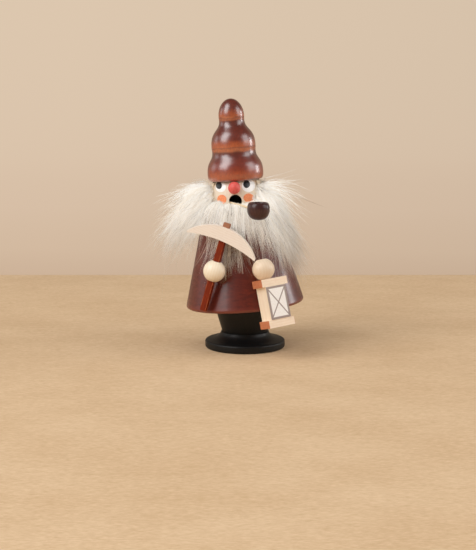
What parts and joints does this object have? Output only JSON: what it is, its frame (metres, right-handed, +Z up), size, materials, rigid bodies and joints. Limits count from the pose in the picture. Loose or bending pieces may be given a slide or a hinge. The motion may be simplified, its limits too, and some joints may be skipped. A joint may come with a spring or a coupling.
{
  "type": "incense smoker figure",
  "caption": "Turned-wood gnome miner on a black foot; the hollow coat and head lift off a saucer for an incense cone, and smoke leaves by the open mouth.",
  "frame": {"origin": "centre of the base disc's underside", "axes": "+Z up along the foot's axis, the figure faces -Y, its left hand is on +X"},
  "size_m": [0.0607, 0.0589, 0.105],
  "materials": {
    "black_lacquer": "black satin lacquer on turned wood",
    "plain_wood": "bare turned dowel wood",
    "dish_brass": "pressed sheet, dulled",
    "nail_steel": "small bright nails",
    "incense": "pressed incense powder, matt",
    "brown_stain": "reddish brown stain under clear gloss, grain showing",
    "face_wood": "pale bare wood with painted eyes and cheeks",
    "nose_red": "red painted wood, satin",
    "hide": "thin pale hide",
    "white_fur": "long white fur with grey guard hairs",
    "hand_wood": "pale waxed bead wood",
    "handle_stain": "red brown stained stick, satin",
    "blade_wood": "pale sawn wood, matt",
    "lantern_wood": "pale sawn wood, darker end grain",
    "window_card": "printed card, matt",
    "pipe_stain": "dark brown stain, satin",
    "stem_straw": "thin straw-coloured stick"
  },
  "bodies": {
    "stand": {"base_disc": "black_lacquer", "legs": "black_lacquer", "leg_dowel": "plain_wood", "incense_dish": "dish_brass", "dish_nails": "nail_steel"},
    "figure": {"coat": "brown_stain", "head": "face_wood", "hat": "brown_stain", "hat_dowel": "plain_wood", "nose": "nose_red", "hair_pelt": "hide", "beard_pelt": "hide", "beard": "white_fur", "right_hair": "white_fur", "left_hair": "white_fur", "back_hair": "white_fur", "right_hand": "hand_wood", "right_hand_peg": "plain_wood", "left_hand": "hand_wood", "left_hand_peg": "plain_wood", "pick_handle": "handle_stain", "pick_head": "blade_wood", "lantern_pin": "plain_wood", "lantern_top": "lantern_wood", "lantern_body": "lantern_wood", "lantern_window": "window_card", "lantern_bottom": "lantern_wood", "pipe_bowl": "pipe_stain", "pipe_stem": "stem_straw"},
    "cone": {"incense_cone": "incense"}
  },
  "joints": [
    {"name": "body_lift", "type": "slide", "parent": "stand", "child": "figure", "axis": [-0.0732, 0, 0.9973], "range_m": [0, 0.05]},
    {"name": "cone_lift", "type": "slide", "parent": "stand", "child": "cone", "axis": [-0.0732, 0, 0.9973], "range_m": [0, 0.012]}
  ]
}
